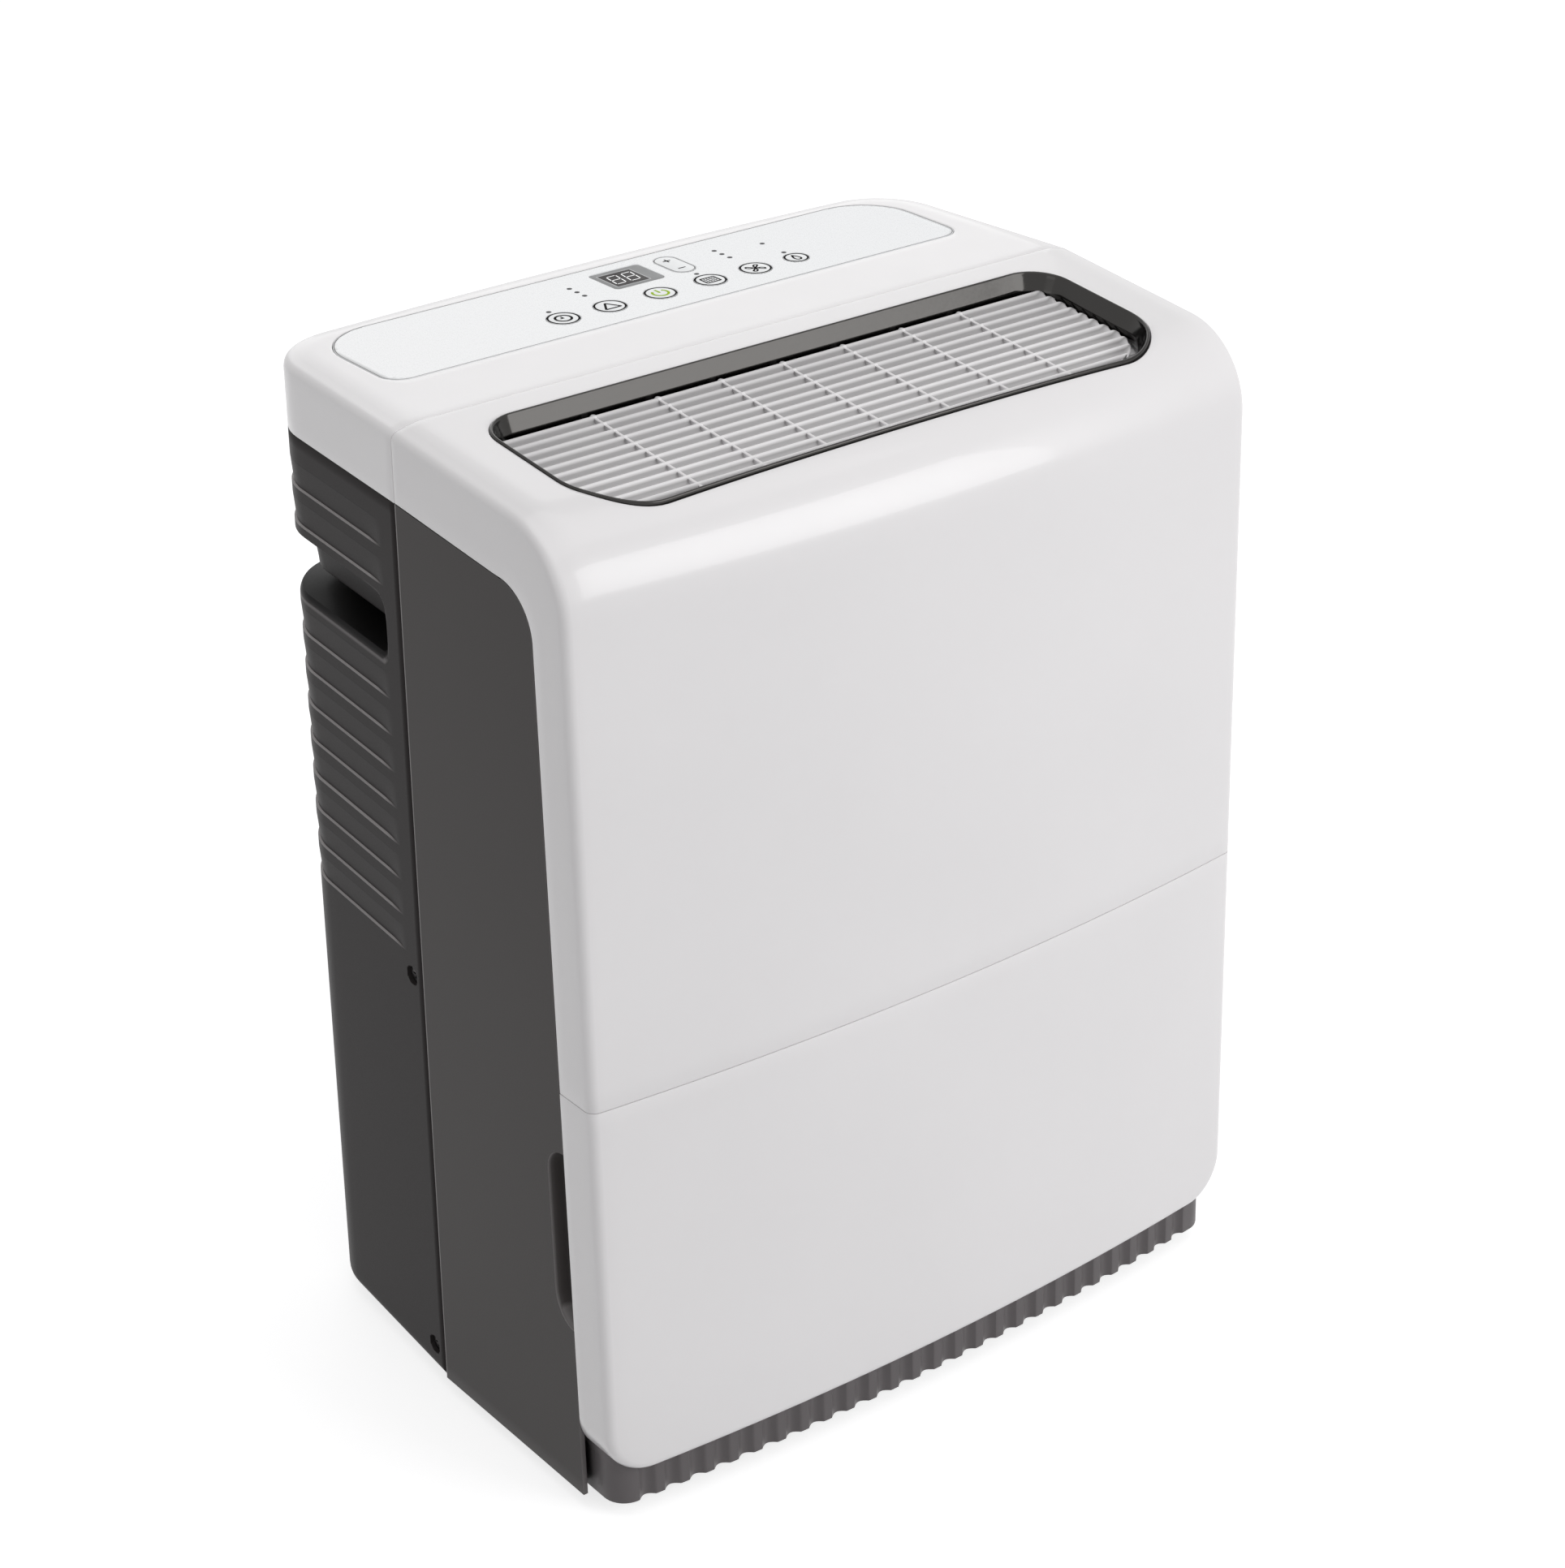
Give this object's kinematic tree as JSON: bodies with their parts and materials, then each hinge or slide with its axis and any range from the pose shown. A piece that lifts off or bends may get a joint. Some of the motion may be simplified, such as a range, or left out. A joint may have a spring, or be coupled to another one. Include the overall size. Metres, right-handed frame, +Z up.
{
  "type": "dehumidifier",
  "caption": "Portable room dehumidifier on swivel casters with a slide-out water bucket, top key panel and louvred top air outlet, ribbed rear housing with side hand grips.",
  "frame": {"origin": "floor level under the middle of the overall box", "axes": "+Z up, -Y towards the bucket front, +X to the right seen from the front"},
  "size_m": [0.39, 0.2857, 0.5061],
  "materials": {
    "white_shell": "smooth semi-gloss white moulding",
    "dark_shell": "fine satin charcoal moulding",
    "tub_grey": "satin mid-grey moulding",
    "silver_sheet": "smooth pale silver sheet",
    "dark_chrome": "darkened polished plating",
    "louvre_grey": "satin light grey moulding",
    "black_plastic": "plain black moulding",
    "smoked_window": "polished smoked window",
    "lamp_lens": "clear grey light guide",
    "circuit_board": "solder-masked board",
    "steel": "plain zinc-plated steel",
    "black_steel": "black painted shell",
    "fin_aluminium": "bare fin stock",
    "copper_pipe": "bare copper pipe",
    "float_foam": "closed-cell white foam",
    "filter_mesh": "fine woven nylon mesh",
    "soft_rubber": "moulded soft rubber",
    "wheel_rubber": "hard black wheel"
  },
  "bodies": {
    "cabinet": {"front_cover": "white_shell", "control_top": "white_shell", "side_panel_left": "dark_shell", "side_panel_right": "dark_shell", "rear_housing": "dark_shell", "outlet_bezel": "dark_chrome", "outlet_grille": "louvre_grey", "bucket_switch": "black_plastic", "base_pan": "dark_shell", "panel_sheet": "silver_sheet", "key_tray": "black_plastic", "display_window": "smoked_window", "light_guide": "lamp_lens", "key_board": "circuit_board", "mid_frame": "black_plastic", "fan_scroll": "black_plastic", "fan_motor": "steel", "condenser_coil": "fin_aluminium", "evaporator_coil": "fin_aluminium", "drip_tray": "black_plastic", "compressor": "black_steel", "suction_line": "copper_pipe", "power_box": "steel", "run_capacitor": "steel", "condensate_pump": "black_plastic", "pump_outlet": "black_plastic", "drain_spigot": "black_plastic", "cord_gland": "black_plastic", "side_screw_left_low": "steel", "side_screw_left_high": "steel", "side_screw_right_low": "steel", "side_screw_right_high": "steel"},
    "bucket": {"bucket_front": "white_shell", "bucket_tub": "tub_grey"},
    "float": {"bucket_float": "float_foam"},
    "fan": {"fan_wheel": "black_plastic", "fan_shaft": "steel"},
    "intake_filter": {"intake_grille": "dark_shell", "filter_screen": "filter_mesh"},
    "drain_plug": {"drain_cap": "soft_rubber"},
    "key_timer": {"key_timer": "silver_sheet"},
    "key_mode": {"key_mode": "silver_sheet"},
    "key_power": {"key_power": "silver_sheet"},
    "key_filter": {"key_filter": "silver_sheet"},
    "key_fan": {"key_fan": "silver_sheet"},
    "key_pump": {"key_pump": "silver_sheet"},
    "key_plus_minus": {"key_plus_minus": "silver_sheet"},
    "caster_front_left_fork": {"caster_fork_front_left": "steel"},
    "caster_front_left_wheel": {"caster_wheel_front_left": "wheel_rubber"},
    "caster_front_right_fork": {"caster_fork_front_right": "steel"},
    "caster_front_right_wheel": {"caster_wheel_front_right": "wheel_rubber"},
    "caster_rear_left_fork": {"caster_fork_rear_left": "steel"},
    "caster_rear_left_wheel": {"caster_wheel_rear_left": "wheel_rubber"},
    "caster_rear_right_fork": {"caster_fork_rear_right": "steel"},
    "caster_rear_right_wheel": {"caster_wheel_rear_right": "wheel_rubber"}
  },
  "joints": [
    {"name": "bucket_slide", "type": "slide", "parent": "cabinet", "child": "bucket", "axis": [0, -1, 0], "range_m": [0, 0.3]},
    {"name": "float_arm_hinge", "type": "hinge", "parent": "bucket", "child": "float", "pos_m": [0.12, -0.02, 0.188], "axis": [-1, 0, 0], "range_deg": [0, 12]},
    {"name": "fan_spin", "type": "hinge", "parent": "cabinet", "child": "fan", "pos_m": [0, -0.055, 0.342], "axis": [0, 1, 0], "continuous": true},
    {"name": "intake_filter_slide", "type": "slide", "parent": "cabinet", "child": "intake_filter", "axis": [0, 1, 0], "range_m": [0, 0.12]},
    {"name": "drain_plug_slide", "type": "slide", "parent": "cabinet", "child": "drain_plug", "axis": [0, 1, 0], "range_m": [0, 0.05]},
    {"name": "key_timer_press", "type": "slide", "parent": "cabinet", "child": "key_timer", "axis": [0, 0, -1], "range_m": [0, 0.0008], "stiffness_N_per_m": 700, "springref_m": -0.0004},
    {"name": "key_mode_press", "type": "slide", "parent": "cabinet", "child": "key_mode", "axis": [0, 0, -1], "range_m": [0, 0.0008], "stiffness_N_per_m": 700, "springref_m": -0.0004},
    {"name": "key_power_press", "type": "slide", "parent": "cabinet", "child": "key_power", "axis": [0, 0, -1], "range_m": [0, 0.0008], "stiffness_N_per_m": 700, "springref_m": -0.0004},
    {"name": "key_filter_press", "type": "slide", "parent": "cabinet", "child": "key_filter", "axis": [0, 0, -1], "range_m": [0, 0.0008], "stiffness_N_per_m": 700, "springref_m": -0.0004},
    {"name": "key_fan_press", "type": "slide", "parent": "cabinet", "child": "key_fan", "axis": [0, 0, -1], "range_m": [0, 0.0008], "stiffness_N_per_m": 700, "springref_m": -0.0004},
    {"name": "key_pump_press", "type": "slide", "parent": "cabinet", "child": "key_pump", "axis": [0, 0, -1], "range_m": [0, 0.0008], "stiffness_N_per_m": 700, "springref_m": -0.0004},
    {"name": "key_plus_minus_rock", "type": "hinge", "parent": "cabinet", "child": "key_plus_minus", "pos_m": [0.0263, 0.1034, 0.5018], "axis": [1, 0, 0], "range_deg": [-2, 2], "stiffness_Nm_per_rad": 0.4},
    {"name": "caster_front_left_swivel", "type": "hinge", "parent": "cabinet", "child": "caster_front_left_fork", "pos_m": [-0.15, -0.068, 0.035], "axis": [0, 0, 1], "continuous": true},
    {"name": "caster_front_left_roll", "type": "hinge", "parent": "caster_front_left_fork", "child": "caster_front_left_wheel", "pos_m": [-0.15, -0.063, 0.012], "axis": [1, 0, 0], "continuous": true},
    {"name": "caster_front_right_swivel", "type": "hinge", "parent": "cabinet", "child": "caster_front_right_fork", "pos_m": [0.15, -0.068, 0.035], "axis": [0, 0, 1], "continuous": true},
    {"name": "caster_front_right_roll", "type": "hinge", "parent": "caster_front_right_fork", "child": "caster_front_right_wheel", "pos_m": [0.15, -0.063, 0.012], "axis": [1, 0, 0], "continuous": true},
    {"name": "caster_rear_left_swivel", "type": "hinge", "parent": "cabinet", "child": "caster_rear_left_fork", "pos_m": [-0.15, 0.092, 0.035], "axis": [0, 0, 1], "continuous": true},
    {"name": "caster_rear_left_roll", "type": "hinge", "parent": "caster_rear_left_fork", "child": "caster_rear_left_wheel", "pos_m": [-0.15, 0.097, 0.012], "axis": [1, 0, 0], "continuous": true},
    {"name": "caster_rear_right_swivel", "type": "hinge", "parent": "cabinet", "child": "caster_rear_right_fork", "pos_m": [0.15, 0.092, 0.035], "axis": [0, 0, 1], "continuous": true},
    {"name": "caster_rear_right_roll", "type": "hinge", "parent": "caster_rear_right_fork", "child": "caster_rear_right_wheel", "pos_m": [0.15, 0.097, 0.012], "axis": [1, 0, 0], "continuous": true}
  ]
}
